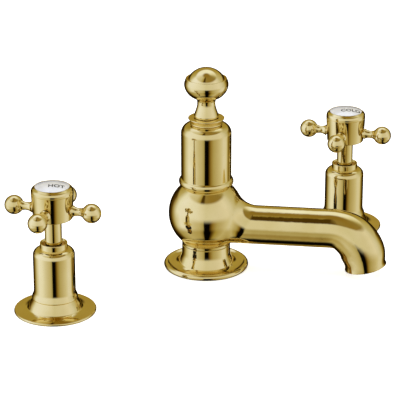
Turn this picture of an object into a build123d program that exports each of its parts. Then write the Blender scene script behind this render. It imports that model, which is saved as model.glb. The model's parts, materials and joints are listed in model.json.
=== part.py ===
from build123d import *
import os
from math import atan2, cos, hypot, radians, sin, sqrt, tan

# Deck-mounted basin mixer in three pieces: a swivelling spout with a lift knob for the waste in the
# middle, and a hot and a cold cross-handle valve beside it. Millimetres, +Z up. The origin is where the
# spout's axis meets the top of the basin's deck, -Y points at the user and +X to the user's right.

# ---- layout on the deck
valve_spacing = 125.0       # spout axis to each valve axis
deck_thickness = 20.0       # basin ledge that the three pieces clamp
spout_direction = -45.0     # where the spout points at rest, in degrees from +X
handle_direction = 35.5     # one arm of each cross handle at rest, in degrees from +X

# ---- clearances
running_gap = 0.05          # radial play of what turns or slides in a bore
face_gap = 0.20             # between the faces of parts that move past each other
seal_ease = 0.03            # between an O-ring and the wall it runs on

# ---- pipe threads: a free one is drawn at its outside radius, the headwork's at its pitch radius
half_inch_r = 10.48
three_quarter_r = 13.22
headwork_thread_r = 9.9
waterway_r = 7.0
hose_port_sweep = 12.0      # how far the hose ports point back from the line of the three pieces
port_shoulder_r = 12.5
port_shoulder_proud = 1.5   # how far the shoulder stands out of its block

# ---- spout: foot and swivel
foot_r = 29.1
foot_rim_height = 4.0
foot_dish_z = 2.7
foot_bell_r = 19.0
neck_r = 16.6
neck_waist_z = 13.9
swivel_z = 17.0             # parting line between the fixed foot and the turning body
spigot_r = 12.0
spigot_top_z = 32.0
spout_floor_z = 27.0
thrust_ring_height = 1.6
clip_thickness = 1.2
swivel_washer_thickness = 0.95
swivel_chamfer = 0.3
o_ring_depth = 1.3

# ---- spout: body, arm and nozzle
ball_r = 25.8
ball_z = 39.7
ball_blend_r = 4.5
body_top_z = 60.0
arm_r = 13.4
arm_z = 32.3
arm_blend_r = 15.0
bend_r = 23.0
nozzle_lean = 12.0          # how far the nozzle leans out from the vertical
nozzle_swell_r = 15.2
outlet_r = 14.6
outlet_reach = 110.4
outlet_z = 5.6
outlet_edge_r = 1.0
outlet_edge_bite = 0.25     # how far the rounding reaches out past the wall
spout_wall = 3.0

# ---- aerator in the nozzle
aerator_r = 11.9
aerator_height = 9.0
aerator_recess = 0.8
aerator_insert_r = 10.2
aerator_seal_height = 1.6
aerator_row_spacing = 2.75
aerator_row_holes = 6       # in the first row, twice as many in the second and three times in the third
aerator_hole_r = 0.8

# ---- spout: bonnet, gland and lift knob
bonnet_r = 17.2
bonnet_bead_r = 18.7
bonnet_bead_z = 62.4
bonnet_shoulder_r = 6.6
bonnet_top_z = 104.0
bonnet_wall = 3.0
bonnet_spigot_r = 13.0
bonnet_spigot_depth = 7.0
gland_bead_r = 10.9
gland_waist_r = 10.2
gland_rim_r = 12.2
gland_height = 4.5
gland_thread_r = 7.5
gland_thread_depth = 4.5
knob_foot_r = 8.3
knob_neck_r = 6.25
knob_neck_z = 117.3
knob_r = 15.0
knob_centre_z = 131.5
knob_drop = 10.8            # from the widest line down to where the cup would close
knob_rise = 11.9
knob_lip_z = 136.0
knob_lip_wall = 0.9
cap_top_z = 143.4
cap_spigot_r = 11.0
cap_spigot_depth = 6.0
lift_rod_r = 2.75
lift_rod_bottom_z = -122.0
lift_rod_end_r = 2.5        # turned down for the waste's linkage
lift_rod_end_length = 30.0
lift_rod_grip = 16.0        # length of rod screwed up into the knob
guide_tube_r = 4.5
guide_tube_bore_r = 3.5

# ---- under the deck
shank_bottom_z = -62.0
shank_bore_r = 8.5
shank_grip = 9.0            # length of shank screwed up into the foot
under_washer_r = 22.0
under_seal_height = 3.0
under_washer_height = 1.5
backnut_height = 8.0
backnut_flats = 36.0
nut_chamfer = 0.6
thread_chamfer = 0.8
deck_seal_height = 1.5
tee_r = 17.0
tee_top_z = -50.0
tee_bottom_z = -85.0
tee_port_z = -71.0
tee_port_reach = 34.0
tee_floor = 3.0
flat_seal_height = 1.5
seal_side_gap = 0.2
washer_side_gap = 0.3
block_edge_r = 1.0

# ---- valves: body under the shroud
flange_r = 27.1
flange_rim = 1.8
boss_foot_r = 17.9
boss_foot_z = 2.9
boss_top_r = 14.6
boss_top_z = 9.5
valve_top_z = 7.5
valve_block_r = 15.0
valve_nut_gap = 1.5         # between the backnut and the block below it
valve_block_height = 26.0
valve_port_drop = 13.0      # below the block's top, as is the seat
valve_seat_drop = 22.0
valve_inlet_length = 17.0
valve_port_reach = 30.0
shroud_r = 13.8
shroud_foot_r = 15.2
shroud_waist_z = 17.0
shroud_shoulder_r = 4.4
shroud_top_z = 44.2
shroud_wall = 1.5
collar_r = 9.15
collar_top_z = 48.4
collar_base_z = 41.6
collar_dish = 1.0
collar_seat = 0.9

# ---- valves: cartridge
headwork_thread_length = 11.5
cartridge_tube_r = 9.2
cartridge_bore_r = 8.05
cartridge_chamber = 14.0
cartridge_flats = 20.0
cartridge_hex_height = 6.0
cartridge_neck_r = 7.6
cartridge_top_z = 45.6
disc_height = 3.0
disc_port_r = 5.4
window_width = 5.0
window_height = 6.0
spindle_r = 4.0
spindle_flange_height = 2.0
spindle_top_z = 69.0
spline_start_z = 49.5
spline_count = 16
spline_depth = 0.35
seat_ring_height = 2.0

# ---- cross handles
stem_r = 5.65
stem_bottom_z = 47.6
hub_bottom_z = 65.4
hub_bottom_r = 13.0
hub_top_r = 13.9
hub_top_z = 83.0
hub_floor_z = 73.0
hub_pocket_r = 10.2
arm_height = 71.5
handle_arm_root_r = 4.2
handle_arm_neck_r = 2.7
handle_arm_neck_at = 17.6
handle_arm_spigot_r = 3.0
handle_arm_spigot_from = 9.5
handle_ball_r = 6.4
handle_ball_at = 26.8
handle_arm_count = 4
bezel_top_r = 12.0
bezel_top_z = 87.2
bezel_lip = 0.7
index_bed_z = 85.4
index_rise = 2.2
screw_r = 2.0
screw_length = 15.0
screw_head_r = 3.9
screw_head_height = 2.6
screw_socket = 2.5

# ---- places worked out from the sizes above
under_deck_z = -deck_thickness
under_washer_z = under_deck_z - under_seal_height
backnut_z = under_washer_z - under_washer_height
valve_block_top_z = backnut_z - backnut_height - valve_nut_gap
valve_block_bottom_z = valve_block_top_z - valve_block_height
valve_port_z = valve_block_top_z - valve_port_drop
valve_seat_z = valve_block_top_z - valve_seat_drop
valve_inlet_z = valve_block_bottom_z - valve_inlet_length
bonnet_base_z = body_top_z
gland_top_z = bonnet_top_z + gland_height
knob_bottom_z = gland_top_z + face_gap
body_bottom_z = swivel_z + face_gap
shroud_base_z = boss_top_z
hot_x = -valve_spacing
cold_x = valve_spacing

os.makedirs("parts", exist_ok=True)


def save(part, name):
    """Label a finished piece and write it as its own STEP file."""
    part.label = name
    export_step(part, f"parts/{name}.step")


def heading(angle, distance, z=0.0):
    """A point at a distance from the Z axis, in a direction seen from above."""
    return (distance * cos(radians(angle)), distance * sin(radians(angle)), z)


def side_plane(angle):
    """The vertical plane through the Z axis whose local x points along an angle, with local y up."""
    return Plane(origin=(0, 0, 0), x_dir=heading(angle, 1), z_dir=heading(angle - 90, 1))


def port_plane(angle, z):
    """The upright plane through the Z axis at a height that faces along an angle."""
    return Plane(origin=(0, 0, z), x_dir=(0, 0, 1), z_dir=heading(angle, 1))


def rims(part, radius):
    """The round edges of a part that have a radius."""
    return [edge for edge in part.edges().filter_by(GeomType.CIRCLE) if abs(edge.radius - radius) < 0.01]


def ring(outer_r, inner_r, bottom_z, height, x=0.0):
    """A flat ring on a vertical axis, such as a washer, gasket or collar."""
    with BuildPart() as part:
        with BuildSketch(Plane.XY.offset(bottom_z)):
            with Locations((x, 0)):
                Circle(outer_r)
                Circle(inner_r, mode=Mode.SUBTRACT)
        extrude(amount=height)
    return part.part


def o_ring(wall_r, bed_r, z, x=0.0):
    """A rubber ring that fills the space between the bed of its groove and the wall it seals on."""
    section_r = (wall_r - bed_r) / 2 - seal_ease
    with BuildPart() as part:
        with Locations((x, 0, z)):
            Torus((wall_r + bed_r) / 2, section_r)
    return part.part


def hex_nut(flats, bore_r, top_z, height, x=0.0):
    """A hexagon nut with its corners turned off, hanging below top_z."""
    with BuildPart() as part:
        with BuildSketch(Plane.XY.offset(top_z - height)):
            with Locations((x, 0)):
                RegularPolygon(flats / 2, 6, major_radius=False)
                Circle(bore_r, mode=Mode.SUBTRACT)
        extrude(amount=height)
        with BuildSketch(Plane.XY.offset(top_z - height)):
            with Locations((x, 0)):
                Circle(flats / 2 + nut_chamfer)
        extrude(amount=height, mode=Mode.INTERSECT)
        chamfer(rims(part, bore_r), nut_chamfer)
    return part.part


def hose_port(angle, z, block_r, reach):
    """A hose port that points along an angle, out of a round block: its shoulder and its thread."""
    with BuildPart() as part:
        with BuildSketch(port_plane(angle, z)):
            Circle(port_shoulder_r)
        extrude(amount=block_r + port_shoulder_proud)
        with BuildSketch(port_plane(angle, z)):
            Circle(half_inch_r)
        extrude(amount=reach)
    return part.part


def port_bore(angle, z, reach):
    """The waterway from the middle of a block out through a hose port."""
    with BuildPart() as part:
        with BuildSketch(port_plane(angle, z)):
            Circle(waterway_r)
        extrude(amount=reach)
    return part.part


def grooves(bed_r, wall_r, heights, width):
    """Cutters for grooves round the Z axis, one centred on each height."""
    return [ring(wall_r + 1, bed_r, z - width / 2, width) for z in heights]


# =================================================== spout foot and what clamps it
swivel_groove_z = (20.5, 24.0)
swivel_clip_z = spout_floor_z + swivel_washer_thickness + running_gap
swivel_bed_r = spigot_r - o_ring_depth
clip_bed_r = spigot_r - 0.8
thrust_ring_r = (spigot_r + 0.5, neck_r - 1.4)
deck_seal_r = (21.0, 25.0)
foot_grooves = grooves(swivel_bed_r, spigot_r, swivel_groove_z, 2 * o_ring_depth) + grooves(
    clip_bed_r, spigot_r, [swivel_clip_z + clip_thickness / 2], clip_thickness
)

with BuildPart() as spout_foot:
    with BuildSketch(Plane.XZ):
        with BuildLine():
            rim_in_r = foot_r - foot_rim_height / 2 - 0.6
            base = Line((three_quarter_r, 0), (foot_r - foot_rim_height / 2, 0))
            rim = ThreePointArc(
                base @ 1,
                (foot_r, foot_rim_height / 2),
                (foot_r - foot_rim_height / 2, foot_rim_height),
            )
            crest = Line(rim @ 1, (rim_in_r, foot_rim_height - 0.1))
            dish = ThreePointArc(
                crest @ 1,
                (foot_bell_r + 3.6, foot_dish_z),
                (foot_bell_r, foot_rim_height),
            )
            bell = Spline(
                dish @ 1,
                (neck_r + 0.55, neck_waist_z * 0.62),
                (neck_r, neck_waist_z),
                tangents=[(-0.25, 0.97), (0, 1)],
            )
            lip = Line(bell @ 1, (neck_r, swivel_z))
            Polyline(
                lip @ 1,
                (thrust_ring_r[1], swivel_z),
                (thrust_ring_r[1], swivel_z - thrust_ring_height + face_gap),
                (spigot_r, swivel_z - thrust_ring_height + face_gap),
                (spigot_r, spigot_top_z),
                (shank_bore_r, spigot_top_z),
                (shank_bore_r, shank_grip),
                (three_quarter_r, shank_grip),
                (three_quarter_r, 0),
            )
        make_face()
    revolve(axis=Axis.Z)
    add(foot_grooves, mode=Mode.SUBTRACT)
    with BuildSketch(Plane.XY):
        Circle(deck_seal_r[1])
        Circle(deck_seal_r[0], mode=Mode.SUBTRACT)
    extrude(amount=deck_seal_height, mode=Mode.SUBTRACT)
    swivel_edges = [edge for edge in rims(spout_foot, neck_r) if abs(edge.center().Z - swivel_z) < 0.01]
    chamfer(swivel_edges, swivel_chamfer)
save(spout_foot.part, "spout_foot")

save(ring(deck_seal_r[1], deck_seal_r[0], 0, deck_seal_height), "foot_seal")
save(
    ring(
        thrust_ring_r[1] - running_gap,
        thrust_ring_r[0],
        swivel_z - thrust_ring_height + face_gap,
        thrust_ring_height,
    ),
    "thrust_ring",
)

swivel_seals = Compound(
    children=[o_ring(spigot_r + running_gap, swivel_bed_r, z) for z in swivel_groove_z]
)
save(swivel_seals, "swivel_seals")

with BuildPart() as swivel_clip:
    with BuildSketch(Plane.XY.offset(swivel_clip_z)):
        Circle(spigot_r + 2.4)
        Circle(clip_bed_r, mode=Mode.SUBTRACT)
        with Locations(heading(spout_direction + 180, spigot_r)):
            Rectangle(9, 5, rotation=spout_direction, mode=Mode.SUBTRACT)
    extrude(amount=clip_thickness)
save(swivel_clip.part, "swivel_clip")

with BuildPart() as spout_shank:
    with BuildSketch(Plane.XY.offset(shank_bottom_z)):
        Circle(three_quarter_r)
        Circle(shank_bore_r, mode=Mode.SUBTRACT)
    extrude(amount=shank_grip - shank_bottom_z)
    shank_ends = ShapeList(rims(spout_shank, three_quarter_r))
    chamfer(shank_ends.sort_by(Axis.Z)[0], thread_chamfer)
save(spout_shank.part, "spout_shank")

shank_washer_bore_r = three_quarter_r + washer_side_gap
tee_seal_z = shank_bottom_z - flat_seal_height
save(
    ring(under_washer_r, shank_washer_bore_r, under_washer_z, under_seal_height),
    "spout_under_seal",
)
save(
    ring(under_washer_r, shank_washer_bore_r, backnut_z, under_washer_height),
    "spout_under_washer",
)
save(hex_nut(backnut_flats, three_quarter_r, backnut_z, backnut_height), "spout_backnut")

# Mixing tee on the lower end of the shank: hot enters from the left, cold from the right.
tee_port_angles = (180 - hose_port_sweep, hose_port_sweep)
with BuildPart() as inlet_tee:
    with BuildSketch(Plane.XY.offset(tee_bottom_z)):
        Circle(tee_r)
    extrude(amount=tee_top_z - tee_bottom_z)
    fillet(rims(inlet_tee, tee_r), block_edge_r)
    add([hose_port(angle, tee_port_z, tee_r, tee_port_reach) for angle in tee_port_angles])
    add([port_bore(angle, tee_port_z, tee_port_reach) for angle in tee_port_angles], mode=Mode.SUBTRACT)
    with BuildSketch(Plane.XY.offset(tee_top_z)):
        Circle(three_quarter_r)
    extrude(amount=tee_seal_z - tee_top_z, mode=Mode.SUBTRACT)
    with BuildSketch(Plane.XY.offset(tee_top_z)):
        Circle(shank_bore_r)
    extrude(amount=tee_bottom_z + tee_floor - tee_top_z, mode=Mode.SUBTRACT)
    with BuildSketch(Plane.XY.offset(tee_bottom_z)):
        Circle(guide_tube_r)
    extrude(amount=tee_floor, mode=Mode.SUBTRACT)
save(inlet_tee.part, "inlet_tee")
save(
    ring(three_quarter_r - seal_side_gap, shank_bore_r + 0.5, tee_seal_z, flat_seal_height),
    "tee_seal",
)

# =================================================== turning spout
nozzle_turn = 90 - nozzle_lean
nozzle_length = (arm_z - outlet_z) / cos(radians(nozzle_lean))
bend_corner = outlet_reach - (arm_z - outlet_z) * tan(radians(nozzle_lean))
bend_tangent = bend_r * tan(radians(nozzle_turn / 2))
bend_length = bend_r * radians(nozzle_turn)
arm_length = bend_corner - bend_tangent
nozzle_straight = nozzle_length - bend_tangent
swell_place = arm_length + 0.75 * bend_length
spout_stations = 16
# The seam of the ball's surface stands on the side away from the arm.
ball_turn = (0, 0, spout_direction + 180)

with BuildLine(side_plane(spout_direction)) as spout_line:
    arm_run = Line((0, arm_z), (arm_length, arm_z))
    bend_run = JernArc(start=arm_run @ 1, tangent=arm_run % 1, radius=bend_r, arc_size=-nozzle_turn)
    Line(bend_run @ 1, bend_run @ 1 + nozzle_straight * (bend_run % 1))
spout_path = spout_line.wires()[0]
outlet_plane = Plane(
    origin=spout_path @ 1,
    x_dir=heading(spout_direction + 90, 1),
    z_dir=spout_path % 1,
)


def tube_radius(place):
    """Radius of the spout's outside: constant along the arm, swelling in the bend, easing to the outlet."""
    if place <= arm_length:
        return arm_r
    if place <= swell_place:
        share = (place - arm_length) / (swell_place - arm_length)
        return arm_r + (nozzle_swell_r - arm_r) * sin(radians(90 * share)) ** 2
    share = (place - swell_place) / (spout_path.length - swell_place)
    return nozzle_swell_r + (outlet_r - nozzle_swell_r) * share**2


def spout_sections(inset):
    """Round sections at even steps along the arm, the bend and the nozzle, inset by a wall."""
    sections = []
    for step in range(spout_stations + 1):
        share = step / spout_stations
        across = Plane(
            origin=spout_path @ share,
            x_dir=heading(spout_direction + 90, 1),
            z_dir=spout_path % share,
        )
        with BuildSketch(across) as section:
            Circle(tube_radius(share * spout_path.length) - inset)
        sections.append(section.sketch)
    return sections


def arm_meets_ball(edge):
    """True for the curved edge where the arm comes out of the ball."""
    middle = edge.center()
    return edge.geom_type == GeomType.BSPLINE and hypot(middle.X, middle.Y) < ball_r + arm_r


with BuildPart() as spout_hollow:
    with Locations((0, 0, ball_z)):
        Sphere(ball_r - spout_wall, rotation=ball_turn)
    split(bisect_by=Plane.XY.offset(spout_floor_z), keep=Keep.TOP)
    split(bisect_by=Plane.XY.offset(body_top_z - bonnet_spigot_depth - 1), keep=Keep.BOTTOM)
    loft(sections=spout_sections(spout_wall))

# What is turned off the outlet's outer edge, in a plane that holds the nozzle's axis: local y runs
# back up the nozzle.
nozzle_axis = Axis(origin=outlet_plane.origin, direction=outlet_plane.z_dir)
nozzle_up = -outlet_plane.z_dir
outlet_side = Plane(
    origin=outlet_plane.origin,
    x_dir=outlet_plane.y_dir,
    z_dir=outlet_plane.y_dir.cross(nozzle_up),
)
rim_flat_r = outlet_r - outlet_edge_r + outlet_edge_bite
with BuildPart() as outlet_rounding:
    with BuildSketch(outlet_side):
        with BuildLine():
            RadiusArc((rim_flat_r, 0), (rim_flat_r + outlet_edge_r, outlet_edge_r), -outlet_edge_r)
            Polyline(
                (rim_flat_r + outlet_edge_r, outlet_edge_r),
                (rim_flat_r + 2, outlet_edge_r),
                (rim_flat_r + 2, -1),
                (rim_flat_r, -1),
                (rim_flat_r, 0),
            )
        make_face()
    revolve(axis=nozzle_axis)

with BuildPart() as spout_body:
    with Locations((0, 0, ball_z)):
        Sphere(ball_r, rotation=ball_turn)
    loft(sections=spout_sections(0))
    fillet(spout_body.edges().filter_by(arm_meets_ball), arm_blend_r)
    with BuildSketch(side_plane(spout_direction + 180)):
        with BuildLine():
            # The neck runs up into a blend that leaves the ball tangentially.
            blend_x = neck_r + ball_blend_r
            blend_drop = sqrt((ball_r + ball_blend_r) ** 2 - blend_x**2)
            blend_z = ball_z - blend_drop
            to_ball = atan2(blend_drop, -blend_x)
            half_turn = (to_ball + radians(180)) / 2
            ball_touch = (blend_x + ball_blend_r * cos(to_ball), blend_z + ball_blend_r * sin(to_ball))
            blend_mid = (blend_x + ball_blend_r * cos(half_turn), blend_z + ball_blend_r * sin(half_turn))
            Polyline(
                (0, ball_touch[1]),
                (0, body_bottom_z),
                (neck_r - swivel_chamfer, body_bottom_z),
                (neck_r, body_bottom_z + swivel_chamfer),
                (neck_r, blend_z),
            )
            ThreePointArc((neck_r, blend_z), blend_mid, ball_touch)
            Line(ball_touch, (0, ball_touch[1]))
        make_face()
    revolve(axis=Axis.Z)
    split(bisect_by=Plane.XY.offset(body_top_z), keep=Keep.BOTTOM)
    with BuildSketch(Plane.XY.offset(body_bottom_z)):
        Circle(ball_r)
    extrude(amount=ball_z - ball_r - body_bottom_z, mode=Mode.SUBTRACT)
    add(spout_hollow.part, mode=Mode.SUBTRACT)
    add(outlet_rounding.part, mode=Mode.SUBTRACT)
    with BuildSketch(Plane.XY.offset(body_bottom_z)):
        Circle(spigot_r + running_gap)
    extrude(amount=spout_floor_z - body_bottom_z + 1, mode=Mode.SUBTRACT)
    with BuildSketch(Plane.XY.offset(body_top_z - bonnet_spigot_depth - 2)):
        Circle(bonnet_spigot_r)
    extrude(amount=bonnet_spigot_depth + 2, mode=Mode.SUBTRACT)
    with BuildSketch(outlet_plane):
        Circle(aerator_r)
    extrude(amount=-(aerator_recess + aerator_height + aerator_seal_height), mode=Mode.SUBTRACT)
save(spout_body.part, "spout_body")

save(
    ring(spigot_r + 3.4, spigot_r + 0.3, spout_floor_z, swivel_washer_thickness),
    "swivel_washer",
)

# Aerator: a ring-shaped housing, a rubber ring above it and the flow straightener inside it.
with BuildPart() as aerator_housing:
    with BuildSketch(outlet_plane.offset(-aerator_recess)):
        Circle(aerator_r)
        Circle(aerator_insert_r, mode=Mode.SUBTRACT)
    extrude(amount=-aerator_height)
    with BuildSketch(outlet_plane.offset(-aerator_recess)):
        with PolarLocations(aerator_r, 2):
            Rectangle(3.2, 2.4)
    extrude(amount=-1.6, mode=Mode.SUBTRACT)
save(aerator_housing.part, "aerator_housing")

with BuildPart() as aerator_insert:
    with BuildSketch(outlet_plane.offset(-aerator_recess - 1.2)):
        Circle(aerator_insert_r)
    extrude(amount=-(aerator_height - 2.4))
    with BuildSketch(outlet_plane.offset(-aerator_recess - 1.2)):
        Circle(1.1)
        for row in (1, 2, 3):
            with PolarLocations(row * aerator_row_spacing, row * aerator_row_holes):
                Circle(aerator_hole_r)
    extrude(amount=-(aerator_height - 2.4), mode=Mode.SUBTRACT)
save(aerator_insert.part, "aerator_insert")

with BuildPart() as aerator_seal:
    with BuildSketch(outlet_plane.offset(-aerator_recess - aerator_height)):
        Circle(aerator_r)
        Circle(aerator_insert_r, mode=Mode.SUBTRACT)
    extrude(amount=-aerator_seal_height)
save(aerator_seal.part, "aerator_seal")

# =================================================== bonnet, gland and guide tube
gland_seal_height = 2.2
gland_socket_z = bonnet_top_z - gland_thread_depth
tube_top_z = gland_socket_z + gland_seal_height
bonnet_roof_z = gland_socket_z - bonnet_wall

with BuildPart() as spout_bonnet:
    with BuildSketch(Plane.XZ):
        with BuildLine():
            bead_drop = bonnet_bead_z - bonnet_base_z
            seat = Polyline(
                (bonnet_spigot_r - bonnet_wall, body_top_z - bonnet_spigot_depth),
                (bonnet_spigot_r, body_top_z - bonnet_spigot_depth),
                (bonnet_spigot_r, bonnet_base_z),
                (bonnet_r - 0.6, bonnet_base_z),
            )
            bead = ThreePointArc(
                seat @ 1,
                (bonnet_bead_r, bonnet_bead_z),
                (bonnet_r, bonnet_bead_z + bead_drop + 0.6),
            )
            side = Line(bead @ 1, (bonnet_r, bonnet_top_z - bonnet_shoulder_r))
            shoulder = RadiusArc(
                side @ 1,
                (bonnet_r - bonnet_shoulder_r, bonnet_top_z),
                -bonnet_shoulder_r,
            )
            Polyline(
                shoulder @ 1,
                (gland_thread_r, bonnet_top_z),
                (gland_thread_r, gland_socket_z),
                (guide_tube_r + running_gap, gland_socket_z),
                (guide_tube_r + running_gap, bonnet_roof_z),
                (bonnet_r - bonnet_wall, bonnet_roof_z),
                (bonnet_r - bonnet_wall, bonnet_bead_z),
                (bonnet_spigot_r - bonnet_wall, bonnet_bead_z),
                (bonnet_spigot_r - bonnet_wall, body_top_z - bonnet_spigot_depth),
            )
        make_face()
    revolve(axis=Axis.Z)
save(spout_bonnet.part, "spout_bonnet")

save(
    ring(gland_thread_r, guide_tube_r + running_gap, gland_socket_z, gland_seal_height - 0.4),
    "gland_seal",
)

rod_bush_r = 4.6
with BuildPart() as bonnet_gland:
    with BuildSketch(Plane.XZ):
        with BuildLine():
            thread_bottom_z = gland_socket_z + gland_seal_height - 0.4
            foot_line = Polyline(
                (rod_bush_r, thread_bottom_z),
                (gland_thread_r, thread_bottom_z),
                (gland_thread_r, bonnet_top_z),
                (gland_waist_r, bonnet_top_z),
            )
            foot_bead = ThreePointArc(
                foot_line @ 1,
                (gland_bead_r, bonnet_top_z + 0.55),
                (gland_waist_r, bonnet_top_z + 1.1),
            )
            flare = Spline(
                foot_bead @ 1,
                (gland_waist_r + 0.7, bonnet_top_z + 2.4),
                (gland_rim_r, gland_top_z - 0.8),
                tangents=[(0.1, 1), (0.7, 0.7)],
            )
            rim_edge = ThreePointArc(
                flare @ 1,
                (gland_rim_r + 0.12, gland_top_z - 0.45),
                (gland_rim_r - 0.2, gland_top_z - 0.15),
            )
            Polyline(
                rim_edge @ 1,
                (knob_foot_r + 0.6, gland_top_z),
                (rod_bush_r, gland_top_z),
                (rod_bush_r, thread_bottom_z),
            )
        make_face()
    revolve(axis=Axis.Z)
save(bonnet_gland.part, "bonnet_gland")

save(
    ring(rod_bush_r, lift_rod_r + running_gap, tube_top_z + 0.3, gland_top_z - tube_top_z - 0.5),
    "rod_bush",
)
save(
    ring(guide_tube_r, guide_tube_bore_r, tee_bottom_z, tube_top_z - tee_bottom_z),
    "guide_tube",
)

# =================================================== lift knob and rod
cup_bottom_z = knob_centre_z - knob_drop
cup_lip_r = knob_r * sqrt(1 - ((knob_lip_z - knob_centre_z) / knob_rise) ** 2)
cap_r = cup_lip_r - knob_lip_wall
cap_base_z = knob_lip_z - 0.5
rod_top_z = knob_bottom_z + lift_rod_grip


def cup_radius(z):
    """Radius of the knob's oval outline at a height."""
    reach = knob_rise if z > knob_centre_z else knob_drop
    return knob_r * sqrt(1 - ((z - knob_centre_z) / reach) ** 2)


with BuildPart() as lift_knob:
    with BuildSketch(Plane.XZ):
        with BuildLine():
            cup_start_z = cup_bottom_z + 1.7
            foot = Polyline(
                (lift_rod_r, knob_bottom_z),
                (knob_foot_r - 0.3, knob_bottom_z),
                (knob_foot_r, knob_bottom_z + 0.4),
                (knob_foot_r, knob_bottom_z + 1.4),
            )
            neck = Spline(
                foot @ 1,
                (knob_neck_r, knob_neck_z),
                (cup_radius(cup_start_z), cup_start_z),
                tangents=[(-0.25, 1), (1, 0.42)],
            )
            cup = Spline(
                neck @ 1,
                (cup_radius(knob_centre_z - 6.5), knob_centre_z - 6.5),
                (knob_r, knob_centre_z),
                (cup_lip_r, knob_lip_z),
                tangents=[(1, 0.42), (-0.42, 1)],
            )
            lip_top = ThreePointArc(
                cup @ 1,
                (cup_lip_r - knob_lip_wall / 2, knob_lip_z + 0.3),
                (cap_r, knob_lip_z),
            )
            Polyline(
                lip_top @ 1,
                (cap_r, cap_base_z),
                (cap_spigot_r, cap_base_z),
                (cap_spigot_r, cap_base_z - cap_spigot_depth),
                (lift_rod_r, cap_base_z - cap_spigot_depth),
                (lift_rod_r, knob_bottom_z),
            )
        make_face()
    revolve(axis=Axis.Z)
save(lift_knob.part, "lift_knob")

with BuildPart() as knob_cap:
    with BuildSketch(Plane.XZ):
        with BuildLine():
            dome_r = cap_r - 0.25
            dome_rise = cap_top_z - cap_base_z
            curve_r = (dome_r**2 + dome_rise**2) / (2 * dome_rise)
            Polyline(
                (0, cap_top_z),
                (0, cap_base_z - cap_spigot_depth),
                (cap_spigot_r, cap_base_z - cap_spigot_depth),
                (cap_spigot_r, cap_base_z),
                (dome_r, cap_base_z),
            )
            RadiusArc((dome_r, cap_base_z), (0, cap_top_z), -curve_r)
        make_face()
    revolve(axis=Axis.Z)
save(knob_cap.part, "knob_cap")

with BuildPart() as lift_rod:
    with BuildSketch(Plane.XY.offset(lift_rod_bottom_z)):
        Circle(lift_rod_end_r)
    extrude(amount=lift_rod_end_length)
    with BuildSketch(Plane.XY.offset(lift_rod_bottom_z + lift_rod_end_length)):
        Circle(lift_rod_r)
    extrude(amount=rod_top_z - lift_rod_bottom_z - lift_rod_end_length)
save(lift_rod.part, "lift_rod")

# =================================================== the two valves
valve_washer_bore_r = three_quarter_r + washer_side_gap
cartridge_bottom_z = valve_seat_z + seat_ring_height
chamber_top_z = cartridge_bottom_z + cartridge_chamber
moving_disc_z = cartridge_bottom_z + disc_height
spindle_bottom_z = moving_disc_z + disc_height
window_z = spindle_bottom_z + spindle_flange_height + 0.4
spindle_groove_z = (20.0, 25.0)
spindle_bed_r = spindle_r - 0.9
spindle_clip_z = cartridge_top_z + face_gap
spindle_clip_height = 0.8
spindle_clip_bed_r = spindle_r - 0.6
spindle_grooves = grooves(spindle_bed_r, spindle_r, spindle_groove_z, 1.8) + grooves(
    spindle_clip_bed_r,
    spindle_r,
    [spindle_clip_z + spindle_clip_height / 2],
    spindle_clip_height,
)
valve_seal_r = (18.5, 23.0)


def both(maker):
    """The same piece at the hot and the cold valve, as two separate solids of one node."""
    return Compound(children=[maker(x) for x in (hot_x, cold_x)])


save(both(lambda x: ring(valve_seal_r[1], valve_seal_r[0], 0, deck_seal_height, x)), "valve_deck_seals")
save(
    both(lambda x: ring(under_washer_r, valve_washer_bore_r, under_washer_z, under_seal_height, x)),
    "valve_under_seals",
)
save(
    both(lambda x: ring(under_washer_r, valve_washer_bore_r, backnut_z, under_washer_height, x)),
    "valve_under_washers",
)
save(
    both(lambda x: hex_nut(backnut_flats, three_quarter_r, backnut_z, backnut_height, x)),
    "valve_backnuts",
)
save(
    both(lambda x: ring(headwork_thread_r - seal_side_gap, waterway_r, valve_seat_z, seat_ring_height, x)),
    "seat_rings",
)


def make_escutcheon():
    """Wide round flange that rises into a convex boss under the shroud."""
    with BuildPart() as part:
        with BuildSketch(Plane.XZ):
            with BuildLine():
                base = Line((three_quarter_r, 0), (flange_r - 0.5, 0))
                rim = ThreePointArc(base @ 1, (flange_r, flange_rim / 2), (flange_r - 0.5, flange_rim))
                dish = ThreePointArc(
                    rim @ 1,
                    ((flange_r + boss_foot_r) / 2, flange_rim - 0.05),
                    (boss_foot_r + 0.6, boss_foot_z - 0.35),
                )
                boss = Spline(
                    dish @ 1,
                    (boss_foot_r - 0.6, boss_foot_z + 1.5),
                    (boss_top_r, boss_top_z),
                    tangents=[(-0.85, 0.3), (-0.6, 1)],
                )
                Polyline(
                    boss @ 1,
                    (three_quarter_r - 0.9, boss_top_z),
                    (three_quarter_r - 0.9, valve_top_z),
                    (three_quarter_r, valve_top_z),
                    (three_quarter_r, 0),
                )
            make_face()
        revolve(axis=Axis.Z)
        with BuildSketch(Plane.XY):
            Circle(valve_seal_r[1])
            Circle(valve_seal_r[0], mode=Mode.SUBTRACT)
        extrude(amount=deck_seal_height, mode=Mode.SUBTRACT)
    return part.part


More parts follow.
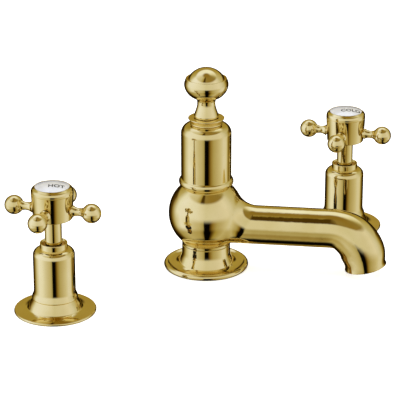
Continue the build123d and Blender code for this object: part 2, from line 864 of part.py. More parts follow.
def make_valve_body(port_angle):
    """Threaded brass body: inlet below, outlet to one side, bored for the headwork."""
    with BuildPart() as part:
        with BuildSketch(Plane.XY.offset(valve_block_bottom_z)):
            Circle(valve_block_r)
        extrude(amount=valve_block_top_z - valve_block_bottom_z)
        fillet(rims(part, valve_block_r), block_edge_r)
        with BuildSketch(Plane.XY.offset(valve_inlet_z)):
            Circle(half_inch_r)
        extrude(amount=valve_block_bottom_z - valve_inlet_z)
        with BuildSketch(Plane.XY.offset(valve_block_top_z)):
            Circle(three_quarter_r)
        extrude(amount=valve_top_z - valve_block_top_z)
        add(hose_port(port_angle, valve_port_z, valve_block_r, valve_port_reach))
        add(port_bore(port_angle, valve_port_z, valve_port_reach), mode=Mode.SUBTRACT)
        with BuildSketch(Plane.XY.offset(valve_seat_z)):
            Circle(headwork_thread_r)
        extrude(amount=valve_top_z - valve_seat_z, mode=Mode.SUBTRACT)
        with BuildSketch(Plane.XY.offset(valve_inlet_z)):
            Circle(waterway_r)
        extrude(amount=valve_seat_z - valve_inlet_z, mode=Mode.SUBTRACT)
    return part.part


def make_shroud():
    """Turned sleeve that hides the cartridge: flared foot, straight side, rounded shoulder."""
    with BuildPart() as part:
        with BuildSketch(Plane.XZ):
            with BuildLine():
                inner_r = shroud_r - shroud_wall
                foot = Line((inner_r, shroud_base_z), (boss_top_r, shroud_base_z))
                foot_edge = ThreePointArc(
                    foot @ 1,
                    (shroud_foot_r - 0.1, shroud_base_z + 0.45),
                    (shroud_foot_r - 0.1, shroud_base_z + 1.1),
                )
                flare = Spline(
                    foot_edge @ 1,
                    ((shroud_r + shroud_foot_r) / 2 - 0.25, shroud_base_z + 3.4),
                    (shroud_r, shroud_waist_z),
                    tangents=[(-0.15, 1), (0, 1)],
                )
                side = Line(flare @ 1, (shroud_r, shroud_top_z - shroud_shoulder_r))
                shoulder = RadiusArc(
                    side @ 1,
                    (shroud_r - shroud_shoulder_r, shroud_top_z),
                    -shroud_shoulder_r,
                )
                Polyline(
                    shoulder @ 1,
                    (collar_r, shroud_top_z),
                    (collar_r, collar_base_z + collar_seat),
                    (cartridge_neck_r + 0.3, collar_base_z + collar_seat),
                    (cartridge_neck_r + 0.3, collar_base_z - 1),
                    (inner_r - 2.6, collar_base_z - 1),
                    (inner_r, collar_base_z - 3.6),
                    (inner_r, shroud_base_z),
                )
            make_face()
        revolve(axis=Axis.Z)
    return part.part


def make_gland_collar():
    """Small ring nut on the cartridge that holds the shroud down, with a dished top."""
    with BuildPart() as part:
        with BuildSketch(Plane.XZ):
            with BuildLine():
                bottom_z = collar_base_z + collar_seat
                outside = Polyline(
                    (cartridge_neck_r, bottom_z),
                    (collar_r - running_gap, bottom_z),
                    (collar_r - running_gap, collar_top_z - 0.5),
                )
                rim = ThreePointArc(
                    outside @ 1,
                    (collar_r - 0.45, collar_top_z),
                    (collar_r - 0.95, collar_top_z - 0.3),
                )
                Polyline(
                    rim @ 1,
                    (cartridge_neck_r, collar_top_z - collar_dish),
                    (cartridge_neck_r, bottom_z),
                )
            make_face()
        revolve(axis=Axis.Z)
    return part.part


def make_cartridge():
    """Brass headwork: disc chamber with four windows, threaded head, hexagon and slim neck."""
    with BuildPart() as part:
        with BuildSketch(Plane.XY.offset(cartridge_bottom_z)):
            Circle(cartridge_tube_r)
        extrude(amount=-cartridge_bottom_z)
        with BuildSketch(Plane.XY.offset(valve_top_z - headwork_thread_length)):
            Circle(headwork_thread_r)
        extrude(amount=headwork_thread_length)
        with BuildSketch(Plane.XY.offset(valve_top_z)):
            Circle(three_quarter_r - 1.2)
        extrude(amount=boss_top_z - valve_top_z)
        with BuildSketch(Plane.XY.offset(boss_top_z)):
            RegularPolygon(cartridge_flats / 2, 6, major_radius=False)
        extrude(amount=cartridge_hex_height)
        with BuildSketch(Plane.XY.offset(boss_top_z + cartridge_hex_height)):
            Circle(cartridge_neck_r)
        extrude(amount=cartridge_top_z - boss_top_z - cartridge_hex_height)
        with BuildSketch(Plane.XY.offset(cartridge_bottom_z)):
            Circle(cartridge_bore_r)
        extrude(amount=cartridge_chamber, mode=Mode.SUBTRACT)
        with BuildSketch(Plane.XY.offset(chamber_top_z)):
            Circle(spindle_r + running_gap)
        extrude(amount=cartridge_top_z - chamber_top_z, mode=Mode.SUBTRACT)
        for plane in (Plane.XZ, Plane.YZ):
            with BuildSketch(plane.offset(-cartridge_tube_r - 1)):
                with Locations((0, window_z + window_height / 2)):
                    Rectangle(window_width, window_height)
            extrude(amount=2 * cartridge_tube_r + 2, mode=Mode.SUBTRACT)
    return part.part


def make_disc(radius, bottom_z, turned):
    """Ceramic disc with two opposite quarter ports."""
    with BuildPart() as part:
        with BuildSketch(Plane.XY.offset(bottom_z)):
            Circle(radius)
            for start in (turned, turned + 180):
                with BuildLine(mode=Mode.PRIVATE) as port:
                    inner = CenterArc((0, 0), 1.6, start, 80)
                    outer = CenterArc((0, 0), disc_port_r, start, 80)
                    Line(inner @ 0, outer @ 0)
                    Line(inner @ 1, outer @ 1)
                make_face(port.edges(), mode=Mode.SUBTRACT)
        extrude(amount=disc_height)
    return part.part


def make_spindle():
    """Spindle from the moving disc up to the splined end inside the handle."""
    with BuildPart() as part:
        with BuildSketch(Plane.XY.offset(spindle_bottom_z)):
            Circle(cartridge_bore_r - 0.25)
        extrude(amount=spindle_flange_height)
        with BuildSketch(Plane.XY.offset(spindle_bottom_z)):
            Circle(spindle_r)
        extrude(amount=spindle_top_z - spindle_bottom_z)
        add(spindle_grooves, mode=Mode.SUBTRACT)
        with BuildSketch(Plane.XY.offset(spline_start_z)):
            with PolarLocations(spindle_r, spline_count):
                Rectangle(2 * spline_depth, 0.6)
        extrude(amount=spindle_top_z - spline_start_z, mode=Mode.SUBTRACT)
        with BuildSketch(Plane.XY.offset(spindle_top_z)):
            Circle(screw_r)
        extrude(amount=hub_floor_z - spindle_top_z - screw_length, mode=Mode.SUBTRACT)
    return part.part


def make_spindle_clip():
    """Spring clip on the spindle that keeps it from sinking into the cartridge."""
    with BuildPart() as part:
        with BuildSketch(Plane.XY.offset(spindle_clip_z)):
            Circle(spindle_r + 1.3)
            Circle(spindle_clip_bed_r, mode=Mode.SUBTRACT)
            with Locations((spindle_r + 0.5, 0)):
                Rectangle(3.4, 3.0, mode=Mode.SUBTRACT)
        extrude(amount=spindle_clip_height)
    return part.part


def make_hub():
    """Centre of the cross handle: slim stem, round hub, pocket for the screw and the bezel."""
    with BuildPart() as part:
        with BuildSketch(Plane.XZ):
            with BuildLine():
                stem = Polyline(
                    (spindle_r + 0.01, stem_bottom_z),
                    (stem_r, stem_bottom_z),
                    (stem_r, hub_bottom_z - 0.6),
                )
                under = ThreePointArc(
                    stem @ 1,
                    (stem_r + 0.18, hub_bottom_z - 0.18),
                    (stem_r + 0.6, hub_bottom_z),
                )
                edge = Line(under @ 1, (hub_bottom_r - 0.8, hub_bottom_z))
                corner = RadiusArc(edge @ 1, (hub_bottom_r, hub_bottom_z + 0.8), -0.8)
                side = Line(corner @ 1, (hub_top_r, hub_top_z - 0.2))
                Polyline(
                    side @ 1,
                    (hub_top_r - 0.2, hub_top_z),
                    (hub_pocket_r, hub_top_z),
                    (hub_pocket_r, hub_floor_z),
                    (screw_r + 0.2, hub_floor_z),
                    (screw_r + 0.2, spindle_top_z + 0.5),
                    (spindle_r + 0.01, spindle_top_z + 0.5),
                    (spindle_r + 0.01, stem_bottom_z),
                )
            make_face()
        revolve(axis=Axis.Z)
        for turn in range(handle_arm_count):
            angle = handle_direction + turn * 360 / handle_arm_count
            arm_plane = Plane(
                origin=heading(angle, handle_arm_spigot_from, arm_height),
                z_dir=heading(angle, 1),
            )
            with BuildSketch(arm_plane):
                Circle(handle_arm_spigot_r)
            extrude(amount=hub_top_r, mode=Mode.SUBTRACT)
    return part.part


def make_arm(angle):
    """One arm of the cross: spigot in the hub, waisted neck and a ball end."""
    hub_r = hub_bottom_r + (hub_top_r - hub_bottom_r) * (arm_height - hub_bottom_z) / (
        hub_top_z - hub_bottom_z
    )
    root_at = sqrt(hub_r**2 - handle_arm_root_r**2)
    touch = handle_ball_r * 0.82
    touch_r = sqrt(handle_ball_r**2 - touch**2)
    with BuildPart() as part:
        with BuildSketch(side_plane(angle)):
            with BuildLine():
                root = Polyline(
                    (handle_arm_spigot_from, arm_height),
                    (handle_arm_spigot_from, arm_height + handle_arm_spigot_r),
                    (root_at + 1.5, arm_height + handle_arm_spigot_r),
                    (root_at + 1.5, arm_height + handle_arm_root_r - 0.35),
                )
                neck = Spline(
                    root @ 1,
                    (handle_arm_neck_at, arm_height + handle_arm_neck_r),
                    (handle_ball_at - touch, arm_height + touch_r),
                    tangents=[(1, -0.75), (1, 0.9)],
                )
                ball = ThreePointArc(
                    neck @ 1,
                    (handle_ball_at, arm_height + handle_ball_r),
                    (handle_ball_at + handle_ball_r, arm_height),
                )
                Line(ball @ 1, root @ 0)
            make_face()
        revolve(axis=Axis(origin=(0, 0, arm_height), direction=heading(angle, 1)))
    return part.part


def make_bezel():
    """Ring that screws into the hub and carries the white index."""
    with BuildPart() as part:
        with BuildSketch(Plane.XZ):
            with BuildLine():
                low = Polyline(
                    (hub_pocket_r - 2, hub_top_z - 4),
                    (hub_pocket_r, hub_top_z - 4),
                    (hub_pocket_r, hub_top_z),
                    (hub_top_r - 0.2, hub_top_z),
                    (hub_top_r, hub_top_z + 0.2),
                    (hub_top_r - 0.05, hub_top_z + 1.4),
                )
                shoulder = Spline(
                    low @ 1,
                    (hub_top_r - 0.75, hub_top_z + 3.0),
                    (bezel_top_r, bezel_top_z - 0.3),
                    tangents=[(-0.1, 1), (-1, 0.9)],
                )
                Polyline(
                    shoulder @ 1,
                    (bezel_top_r - 0.25, bezel_top_z),
                    (bezel_top_r - bezel_lip, bezel_top_z - 0.1),
                    (bezel_top_r - bezel_lip, index_bed_z),
                    (hub_pocket_r - 2, index_bed_z),
                    (hub_pocket_r - 2, hub_top_z - 4),
                )
            make_face()
        revolve(axis=Axis.Z)
    return part.part


def make_index():
    """Glazed white button with a low dome."""
    with BuildPart() as part:
        with BuildSketch(Plane.XZ):
            with BuildLine():
                index_r = bezel_top_r - bezel_lip - running_gap
                dome_r = (index_r**2 + index_rise**2) / (2 * index_rise)
                Polyline(
                    (0, bezel_top_z + index_rise),
                    (0, index_bed_z),
                    (index_r, index_bed_z),
                    (index_r, bezel_top_z),
                )
                RadiusArc((index_r, bezel_top_z), (0, bezel_top_z + index_rise), -dome_r)
            make_face()
        revolve(axis=Axis.Z)
    return part.part


def make_screw():
    """Socket screw that holds the handle down on the spindle."""
    with BuildPart() as part:
        with BuildSketch(Plane.XY.offset(hub_floor_z)):
            Circle(screw_r)
        extrude(amount=-screw_length)
        with BuildSketch(Plane.XY.offset(hub_floor_z)):
            Circle(screw_head_r)
        extrude(amount=screw_head_height)
        with BuildSketch(Plane.XY.offset(hub_floor_z + screw_head_height)):
            RegularPolygon(screw_socket / 2, 6, major_radius=False)
        extrude(amount=-screw_head_height * 0.6, mode=Mode.SUBTRACT)
    return part.part


spindle_seals = Compound(
    children=[o_ring(spindle_r + running_gap, spindle_bed_r, z) for z in spindle_groove_z]
)
arm_angles = [handle_direction + turn * 360 / handle_arm_count for turn in range(handle_arm_count)]
valve_pieces = {
    "escutcheon": make_escutcheon(),
    "shroud": make_shroud(),
    "gland_collar": make_gland_collar(),
    "cartridge": make_cartridge(),
    "fixed_disc": make_disc(cartridge_bore_r - 0.02, cartridge_bottom_z, 0),
    "moving_disc": make_disc(cartridge_bore_r - 0.1, moving_disc_z, 90),
    "spindle": make_spindle(),
    "spindle_seals": spindle_seals,
    "spindle_clip": make_spindle_clip(),
    "handle_hub": make_hub(),
    "handle_arms": Compound(children=[make_arm(angle) for angle in arm_angles]),
    "index_bezel": make_bezel(),
    "index_button": make_index(),
    "handle_screw": make_screw(),
}

for side, x, port_angle in (
    ("hot", hot_x, hose_port_sweep),
    ("cold", cold_x, 180 - hose_port_sweep),
):
    save(Pos(x, 0, 0) * make_valve_body(port_angle), f"{side}_valve_body")
    for piece, shape in valve_pieces.items():
        save(Pos(x, 0, 0) * shape, f"{side}_{piece}")
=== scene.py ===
import json
import math

import bmesh
import bpy
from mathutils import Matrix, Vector
from mathutils.bvhtree import BVHTree


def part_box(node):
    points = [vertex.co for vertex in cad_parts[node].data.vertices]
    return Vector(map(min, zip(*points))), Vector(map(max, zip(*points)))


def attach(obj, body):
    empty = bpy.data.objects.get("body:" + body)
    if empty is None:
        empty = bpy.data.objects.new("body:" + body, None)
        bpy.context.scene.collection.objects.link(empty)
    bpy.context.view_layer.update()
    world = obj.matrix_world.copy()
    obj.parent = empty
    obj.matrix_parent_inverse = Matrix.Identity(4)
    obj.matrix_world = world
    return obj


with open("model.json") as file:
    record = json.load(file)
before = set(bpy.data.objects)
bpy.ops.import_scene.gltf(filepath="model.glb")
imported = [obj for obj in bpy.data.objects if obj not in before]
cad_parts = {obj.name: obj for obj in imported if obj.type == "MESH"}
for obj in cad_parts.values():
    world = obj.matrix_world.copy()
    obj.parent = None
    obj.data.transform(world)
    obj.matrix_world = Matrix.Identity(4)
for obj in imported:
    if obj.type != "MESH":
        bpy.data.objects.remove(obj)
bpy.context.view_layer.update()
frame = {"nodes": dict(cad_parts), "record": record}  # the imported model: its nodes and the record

nodes = frame["nodes"]
print("frame loaded:", len(nodes), "nodes")


def linear(hexColour):
    # sRGB hex to the linear values that the shaders work in
    channels = [int(hexColour[i:i + 2], 16) / 255 for i in (0, 2, 4)]
    values = [c / 12.92 if c <= 0.04045 else ((c + 0.055) / 1.055) ** 2.4 for c in channels]
    return values + [1.0]


def addNode(tree, kind, settings=None, links=None):
    # settings name a socket or a property; links name an input and what feeds it
    node = tree.nodes.new(kind)
    for key, value in (settings or {}).items():
        if isinstance(key, int) or key in node.inputs:
            node.inputs[key].default_value = value
        else:
            setattr(node, key, value)
    for key, source in (links or {}).items():
        tree.links.new(source, node.inputs[key])
    return node


def setStops(ramp, stops):
    # stops are places from 0 to 1, each with a hex or a linear colour
    while len(ramp.elements) > 1:
        ramp.elements.remove(ramp.elements[-1])
    for i, (place, colour) in enumerate(stops):
        element = ramp.elements[0] if i == 0 else ramp.elements.new(place)
        element.position = place
        element.color = linear(colour) if isinstance(colour, str) else colour


def newMaterial(name):
    material = bpy.data.materials.new(name)
    material.use_nodes = True
    tree = material.node_tree
    tree.nodes.clear()
    output = tree.nodes.new("ShaderNodeOutputMaterial")
    shader = tree.nodes.new("ShaderNodeBsdfPrincipled")
    tree.links.new(shader.outputs["BSDF"], output.inputs["Surface"])
    place = tree.nodes.new("ShaderNodeTexCoord").outputs["Object"]  # in metres
    return material, tree, shader, place


# A long lens from above the hot side, so that the spout crosses the view and nothing looks
# stretched.
camera = {
    "azimuth": -37.14,     # degrees from straight in front, towards the hot side
    "elevation": 21.18,
    "distance": 1.4618,
    "target": (0.00983, 0.020, 0.040),
    "lens": 189.0,
    "sensorWidth": 36.0,
    "clipStart": 0.05,
}
cameraAzimuth = math.radians(camera["azimuth"])
cameraElevation = math.radians(camera["elevation"])
towardsCamera = Vector((math.sin(cameraAzimuth), -math.cos(cameraAzimuth), 0))  # level directions
rightOfCamera = Vector((math.cos(cameraAzimuth), math.sin(cameraAzimuth), 0))
toCamera = towardsCamera * math.cos(cameraElevation) + Vector((0, 0, math.sin(cameraElevation)))
cameraData = bpy.data.cameras.new("camera")
cameraData.lens = camera["lens"]
cameraData.sensor_width = camera["sensorWidth"]
cameraData.clip_start = camera["clipStart"]
cameraObject = bpy.data.objects.new("camera", cameraData)
cameraObject.location = Vector(camera["target"]) + toCamera * camera["distance"]
cameraObject.rotation_euler = toCamera.to_track_quat("Z", "Y").to_euler()
bpy.context.scene.collection.objects.link(cameraObject)
bpy.context.scene.camera = cameraObject
bpy.context.scene.view_settings.view_transform = "Standard"
bpy.context.scene.view_settings.look = "None"
print("camera placed")


# Tall soft panels stand all round with a dark gap in front, which is how polished brass is lit.
# Each tone is the one the brass shows where it mirrors that part of the studio.
brassMirror = "E8D9A4"
straightDown = "060300"


def panelTone(hexColour):
    want, mirror = linear(hexColour), linear(brassMirror)
    return [want[i] / mirror[i] for i in range(3)] + [1.0]


# For each band from the floor up: the elevations in degrees between which it takes over from the
# one below, and its tones by azimuth in degrees from the camera's side, positive to its right.
studioBands = {
    "under": {"starts": (-80, -62), "tones": (
        (-180, "8F7430"), (-165, "1E1200"), (-140, "060300"), (-124, "5A3E08"), (-108, "A08A40"),
        (-70, "BBA662"), (-24, "AE964E"), (-12, "8F7430"), (-8, "060300"), (14, "060300"),
        (22, "5A3E08"), (34, "A08631"), (66, "BFAB69"), (106, "B09953"), (122, "5A3E08"),
        (138, "060300"), (165, "1E1200"), (180, "8F7430"),
    )},
    "low": {"starts": (-46, -30), "tones": (
        (-180, "BFA766"), (-170, "1E1200"), (-146, "060300"), (-131, "5A3E08"), (-119, "A08A40"),
        (-105, "CDBE86"), (-86, "E7DCB2"), (-66, "E4D8A9"), (-48, "D3C48E"), (-34, "C8B67A"),
        (-20, "BFAB69"), (-9, "A5904A"), (-6.5, "060300"), (9, "060300"), (14, "5A3E08"),
        (21, "8F7025"), (34, "AE9850"), (50, "BDA868"), (67, "CCBA7D"), (86, "DBCD9F"),
        (104, "DACB96"), (115, "A58A33"), (127, "5A3E08"), (142, "060300"), (170, "1E1200"),
        (180, "BFA766"),
    )},
    "level": {"starts": (-19, 0), "tones": (
        (-180, "3A2604"), (-150, "1E1200"), (-132, "5A3E08"), (-120, "B09953"), (-102, "E6DDB2"),
        (-84, "EAE0BC"), (-60, "E7DCB2"), (-36, "E0D4A6"), (-16, "DACB98"), (0, "D1C28B"),
        (40, "D5C592"), (68, "DECE9D"), (88, "D4C695"), (104, "C4B478"), (118, "A58A33"),
        (130, "5A3E08"), (150, "1E1200"), (180, "3A2604"),
    )},
    "middle": {"starts": (9, 18), "tones": (
        (-180, "A08434"), (-146, "A58A33"), (-122, "B9A55E"), (-102, "E6DDB2"), (-84, "EAE0BC"),
        (-60, "E7DCB2"), (-36, "E0D4A6"), (-16, "DACB98"), (0, "D1C28B"), (40, "D5C592"),
        (68, "DECE9D"), (88, "D4C695"), (104, "C4B478"), (128, "B9A55E"), (150, "A58A33"),
        (180, "A08434"),
    )},
    "high": {"starts": (40, 50), "tones": (
        (-180, "EFE6BA"), (-120, "EAE0BC"), (-80, "D3C48E"), (-50, "C8B67A"), (-28, "A58A33"),
        (-22, "4A3206"), (-11, "4A3206"), (-3, "8F7430"), (28, "8F7025"), (76, "8F7430"),
        (96, "A5904A"), (120, "DBCB8F"), (150, "EFE6BA"), (180, "EFE6BA"),
    )},
    "top": {"starts": (68, 82), "tones": (
        (-180, "8A6A20"), (180, "8A6A20"),
    )},
}

world = bpy.data.worlds.new("studio")
bpy.context.scene.world = world
world.use_nodes = True
tree = world.node_tree
tree.nodes.clear()
direction = tree.nodes.new("ShaderNodeTexCoord").outputs["Generated"]
forward = addNode(tree, "ShaderNodeVectorMath", {
    "operation": "DOT_PRODUCT", 1: towardsCamera}, {0: direction})
sideways = addNode(tree, "ShaderNodeVectorMath", {
    "operation": "DOT_PRODUCT", 1: rightOfCamera}, {0: direction})
upward = addNode(tree, "ShaderNodeSeparateXYZ", {}, {0: direction})
azimuth = addNode(tree, "ShaderNodeMath", {"operation": "ARCTAN2"}, {
    0: sideways.outputs["Value"], 1: forward.outputs["Value"]})
azimuthShare = addNode(tree, "ShaderNodeMapRange", {
    "From Min": -math.pi, "From Max": math.pi}, {"Value": azimuth.outputs[0]})
elevation = addNode(tree, "ShaderNodeMath", {"operation": "ARCSINE"}, {0: upward.outputs["Z"]})
floorDark = addNode(tree, "ShaderNodeRGB")
floorDark.outputs[0].default_value = panelTone(straightDown)
mirrored = floorDark.outputs[0]
for band in studioBands.values():
    start, end = [math.radians(angle) for angle in band["starts"]]
    weight = addNode(tree, "ShaderNodeMapRange", {
        "From Min": start, "From Max": end, "interpolation_type": "SMOOTHSTEP",
    }, {"Value": elevation.outputs[0]})
    layer = addNode(tree, "ShaderNodeValToRGB", {}, {0: azimuthShare.outputs[0]})
    setStops(layer.color_ramp, [
        ((angle + 180) / 360, panelTone(tone)) for angle, tone in band["tones"]])
    mixed = addNode(tree, "ShaderNodeMix", {"data_type": "RGBA"}, {
        "Factor": weight.outputs[0], 6: mirrored, 7: layer.outputs[0]})  # 6 and 7 take the colours
    mirrored = mixed.outputs[2]
background = addNode(tree, "ShaderNodeBackground", {"Strength": 1.0}, {"Color": mirrored})
addNode(tree, "ShaderNodeOutputWorld", {}, {"Surface": background.outputs[0]})

# A wide soft light overhead whitens the floor and the porcelain. The brass doesn't mirror it.
overhead = {"size": 2.2, "height": 1.6, "power": 20.0}
lightData = bpy.data.lights.new("overheadSoftbox", "AREA")
lightData.shape = "DISK"
lightData.size = overhead["size"]
lightData.energy = overhead["power"]
lightObject = bpy.data.objects.new("overheadSoftbox", lightData)
lightObject.location = (0.0, 0.0, overhead["height"])
lightObject.visible_glossy = False
bpy.context.scene.collection.objects.link(lightObject)

# The pale floor is the top of the basin's deck. It carries on past any view.
# It glows a little, so that it stays pale close to the pieces.
floorSettings = {"size": 12.0, "divisions": 4, "colour": "FDFDFC", "roughness": 0.9, "glow": 0.6}
bpy.ops.mesh.primitive_grid_add(
    x_subdivisions=floorSettings["divisions"], y_subdivisions=floorSettings["divisions"],
    size=floorSettings["size"])
floor = bpy.context.object
floor.name = "paleFloor"
floor.visible_glossy = False
material, tree, shader, place = newMaterial("matPaintedFloor")
shader.inputs["Base Color"].default_value = linear(floorSettings["colour"])
shader.inputs["Roughness"].default_value = floorSettings["roughness"]
shader.inputs["Specular IOR Level"].default_value = 0.0
shader.inputs["Emission Color"].default_value = linear(floorSettings["colour"])
shader.inputs["Emission Strength"].default_value = floorSettings["glow"]
floor.data.materials.append(material)
print("studio lit")


def mottledColour(tree, shader, place, settings):
    # a noise in the material moves its colour between two tones
    noise = addNode(tree, "ShaderNodeTexNoise", {
        "Scale": 1000 / settings["mottleMm"], "Detail": settings["mottleDetail"],
    }, {"Vector": place})
    colour = addNode(tree, "ShaderNodeValToRGB", {}, {0: noise.outputs[0]})
    setStops(colour.color_ramp, settings["tones"])
    tree.links.new(colour.outputs[0], shader.inputs["Base Color"])
    return noise


def mottledRoughness(tree, shader, noise, settings):
    # the same noise moves the roughness between its two values
    noiseStart, noiseEnd = settings.get("roughnessSpan", (0.0, 1.0))
    smoothest, roughest = settings["roughness"]
    rough = addNode(tree, "ShaderNodeMapRange", {
        "From Min": noiseStart, "From Max": noiseEnd, "To Min": smoothest, "To Max": roughest,
    }, {"Value": noise.outputs[0]})
    tree.links.new(rough.outputs[0], shader.inputs["Roughness"])


def polishedBrass():
    # Brass, cast and turned, then buffed to a mirror and plated pale gold: sharp reflections, warm
    # darks, and only a faint haze where hands and cloths have been. Buffing lines are a few microns
    # apart, too fine to show, so they are drawn as a waviness of about a millimetre.
    settings = {
        "tones": ((0.35, "E0CF93"), (0.65, brassMirror)), "edge": "FFF6DC",
        "mottleMm": 24.0, "mottleDetail": 3.0,
        "roughness": (0.030, 0.062), "roughnessSpan": (0.35, 0.70),
        "polishMm": 0.9, "polishDetail": 2.0, "polishDepth": 0.000004, "polishStrength": 0.25,
    }
    material, tree, shader, place = newMaterial("goldPlatedBrass")
    haze = mottledColour(tree, shader, place, settings)
    mottledRoughness(tree, shader, haze, settings)
    polish = addNode(tree, "ShaderNodeTexNoise", {
        "Scale": 1000 / settings["polishMm"], "Detail": settings["polishDetail"],
    }, {"Vector": place})
    bump = addNode(tree, "ShaderNodeBump", {
        "Strength": settings["polishStrength"], "Distance": settings["polishDepth"],
    }, {"Height": polish.outputs[0]})
    tree.links.new(bump.outputs[0], shader.inputs["Normal"])
    shader.inputs["Metallic"].default_value = 1.0
    shader.inputs["Specular Tint"].default_value = linear(settings["edge"])
    return material


def machinedBrass():
    # Bare brass, turned on a lathe and left: yellower than the plating, duller with age. A lathe's
    # rings are about 0.1 mm apart, and are drawn eight times as coarse so that they show.
    settings = {
        "tones": ((0.40, "C9A255"), (0.75, "A07C3A")), "mottleMm": 9.0, "mottleDetail": 5.0,
        "roughness": (0.24, 0.42),
        "ringMm": 0.8, "ringWander": 0.4, "ringDepth": 0.00004, "ringStrength": 0.35,
    }
    material, tree, shader, place = newMaterial("machinedBrass")
    age = mottledColour(tree, shader, place, settings)
    mottledRoughness(tree, shader, age, settings)
    rings = addNode(tree, "ShaderNodeTexWave", {
        "wave_type": "BANDS", "bands_direction": "Z", "Distortion": settings["ringWander"],
        "Scale": math.pi / 10 * 1000 / settings["ringMm"],  # at scale 1 a wave is pi / 10 m long
    }, {"Vector": place})
    bump = addNode(tree, "ShaderNodeBump", {
        "Strength": settings["ringStrength"], "Distance": settings["ringDepth"],
    }, {"Height": rings.outputs[0]})
    tree.links.new(bump.outputs[0], shader.inputs["Normal"])
    shader.inputs["Metallic"].default_value = 1.0
    return material


def stainlessSteel():
    # Stainless steel, rolled and tumbled: neutral grey with a soft grain, drawn coarser than it is.
    settings = {
        "tones": ((0.3, "9C9C99"), (0.7, "B9B9B6")), "mottleMm": 0.6, "mottleDetail": 3.0,
        "roughness": (0.22, 0.36),
    }
    material, tree, shader, place = newMaterial("stainlessSteel")
    mottledRoughness(tree, shader, mottledColour(tree, shader, place, settings), settings)
    shader.inputs["Metallic"].default_value = 1.0
    return material


def mouldedRubber():
    # EPDM rubber, moulded: near black, matt, with a bloom that greys it a little.
    settings = {
        "tones": ((0.4, "1B1B1C"), (0.8, "2C2C2D")), "mottleMm": 4.0, "mottleDetail": 4.0,
        "roughness": (0.62, 0.80), "ior": 1.52,
    }
    material, tree, shader, place = newMaterial("mouldedRubber")
    mottledRoughness(tree, shader, mottledColour(tree, shader, place, settings), settings)
    shader.inputs["IOR"].default_value = settings["ior"]
    return material


def mouldedAcetal():
    # Acetal, injection moulded: milky white and waxy.
    settings = {
        "tones": ((0.3, "E2E2DB"), (0.7, "EDEDE8")), "mottleMm": 6.0, "mottleDetail": 2.0,
        "roughness": (0.32, 0.44), "ior": 1.48,
    }
    material, tree, shader, place = newMaterial("mouldedAcetal")
    mottledRoughness(tree, shader, mottledColour(tree, shader, place, settings), settings)
    shader.inputs["IOR"].default_value = settings["ior"]
    return material


def lappedCeramic():
    # Alumina, sintered and lapped flat: ivory white with a dull shine. Its grain is drawn coarser
    # than it is.
    settings = {
        "tones": ((0.30, "DAD5C6"), (0.45, "EFEBDF")), "mottleMm": 0.5, "mottleDetail": 2.0,
        "roughness": (0.12, 0.24), "ior": 1.76,
    }
    material, tree, shader, place = newMaterial("lappedCeramic")
    mottledRoughness(tree, shader, mottledColour(tree, shader, place, settings), settings)
    shader.inputs["IOR"].default_value = settings["ior"]
    return material


def glazedPorcelain():
    # Porcelain under a clear glaze: cool white body, wet shine, and a glaze that pools unevenly.
    settings = {
        "tones": ((0.35, "CACCD1"), (0.65, "D6D8DC")), "mottleMm": 5.0, "mottleDetail": 2.0,
        "roughness": 0.06, "ior": 1.5, "glaze": 0.5, "glazeRoughness": 0.03,
        "rippleMm": 3.0, "rippleDetail": 1.0, "rippleDepth": 0.00003, "rippleStrength": 0.15,
    }
    material, tree, shader, place = newMaterial("glazedPorcelain")
    mottledColour(tree, shader, place, settings)
    ripple = addNode(tree, "ShaderNodeTexNoise", {
        "Scale": 1000 / settings["rippleMm"], "Detail": settings["rippleDetail"],
    }, {"Vector": place})
    bump = addNode(tree, "ShaderNodeBump", {
        "Strength": settings["rippleStrength"], "Distance": settings["rippleDepth"],
    }, {"Height": ripple.outputs[0]})
    tree.links.new(bump.outputs[0], shader.inputs["Normal"])
    shader.inputs["Roughness"].default_value = settings["roughness"]
    shader.inputs["IOR"].default_value = settings["ior"]
    shader.inputs["Coat Weight"].default_value = settings["glaze"]
    shader.inputs["Coat Roughness"].default_value = settings["glazeRoughness"]
    return material


def firedInk():
    # Ceramic ink, printed and fired on the glaze: dark grey, thinner in places, with the glaze's
    # shine. Its unevenness is drawn coarser than it is.
    settings = {
        "tones": ((0.35, "2E3034"), (0.75, "4A4C51")), "mottleMm": 0.4, "mottleDetail": 2.0,
        "roughness": 0.12, "ior": 1.5,
    }
    material, tree, shader, place = newMaterial("firedInk")
    mottledColour(tree, shader, place, settings)
    shader.inputs["Roughness"].default_value = settings["roughness"]
    shader.inputs["IOR"].default_value = settings["ior"]
    return material


slotMaterials = {
    "gold_brass": polishedBrass(),
    "raw_brass": machinedBrass(),
    "stainless_steel": stainlessSteel(),
    "black_rubber": mouldedRubber(),
    "white_acetal": mouldedAcetal(),
    "disc_ceramic": lappedCeramic(),
    "white_porcelain": glazedPorcelain(),
}
for subpart in frame["record"]["subparts"]:
    node = nodes[subpart["node"]]
    node.data.materials.clear()
    node.data.materials.append(slotMaterials[subpart["material_slot"]])
print("materials made:", len(slotMaterials))


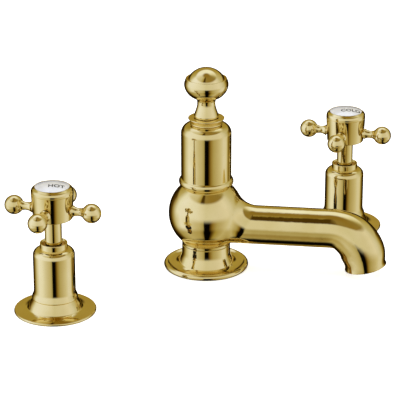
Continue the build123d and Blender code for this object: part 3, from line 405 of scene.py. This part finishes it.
# The words are fired on to the white buttons.
lettering = {
    "height": 0.0036,
    "fontSizePerHeight": 1.4,
    "bolder": 0.00007,      # how far each stroke is fattened
    "curveSteps": 6,
    "cuts": 3,              # divides the faces, so that the letters follow the dome
    "proud": 0.00010,       # above the glaze
    "thickness": 0.0004,
    "across": 0.0030,       # from the button's middle, to the camera's right and towards it
    "near": 0.0040,
    "rayStart": 0.01,       # above the button
}
inkMaterial = firedInk()


def letterButton(side, word):
    button = nodes[side + "_index_button"]
    low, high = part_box(side + "_index_button")
    centre = (low + high) / 2
    text = bpy.data.curves.new(side + "Lettering", "FONT")
    text.body = word
    text.size = lettering["height"] * lettering["fontSizePerHeight"]
    text.align_x = "CENTER"
    text.align_y = "CENTER"
    text.resolution_u = lettering["curveSteps"]
    text.offset = lettering["bolder"]
    textObject = bpy.data.objects.new(side + "Lettering", text)
    flat = bpy.data.meshes.new_from_object(textObject)
    bpy.data.objects.remove(textObject)
    shape = bmesh.new()
    shape.from_mesh(flat)
    bmesh.ops.triangulate(shape, faces=shape.faces)
    bmesh.ops.subdivide_edges(shape, edges=shape.edges, cuts=lettering["cuts"], use_grid_fill=True)
    # the word lies on the near right of the button and reads level from the camera's side
    glaze = BVHTree.FromPolygons(
        [v.co for v in button.data.vertices], [p.vertices for p in button.data.polygons])
    middle = centre + rightOfCamera * lettering["across"] + towardsCamera * lettering["near"]
    for v in shape.verts:
        spot = middle + rightOfCamera * v.co.x - towardsCamera * v.co.y
        start = Vector((spot.x, spot.y, high.z + lettering["rayStart"]))
        hit = glaze.ray_cast(start, Vector((0, 0, -1)))[0]
        v.co = Vector((spot.x, spot.y, hit.z + lettering["proud"]))
    solid = bmesh.ops.extrude_face_region(shape, geom=shape.faces[:])
    for v in [g for g in solid["geom"] if isinstance(g, bmesh.types.BMVert)]:
        v.co.z -= lettering["thickness"]
    bmesh.ops.recalc_face_normals(shape, faces=shape.faces)
    mesh = bpy.data.meshes.new(side + "Lettering")
    shape.to_mesh(mesh)
    shape.free()
    letters = bpy.data.objects.new(side + "Lettering", mesh)
    bpy.context.scene.collection.objects.link(letters)
    mesh.materials.append(inkMaterial)
    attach(letters, side + "_handle")


letterButton("hot", "HOT")
letterButton("cold", "COLD")
print("buttons lettered")
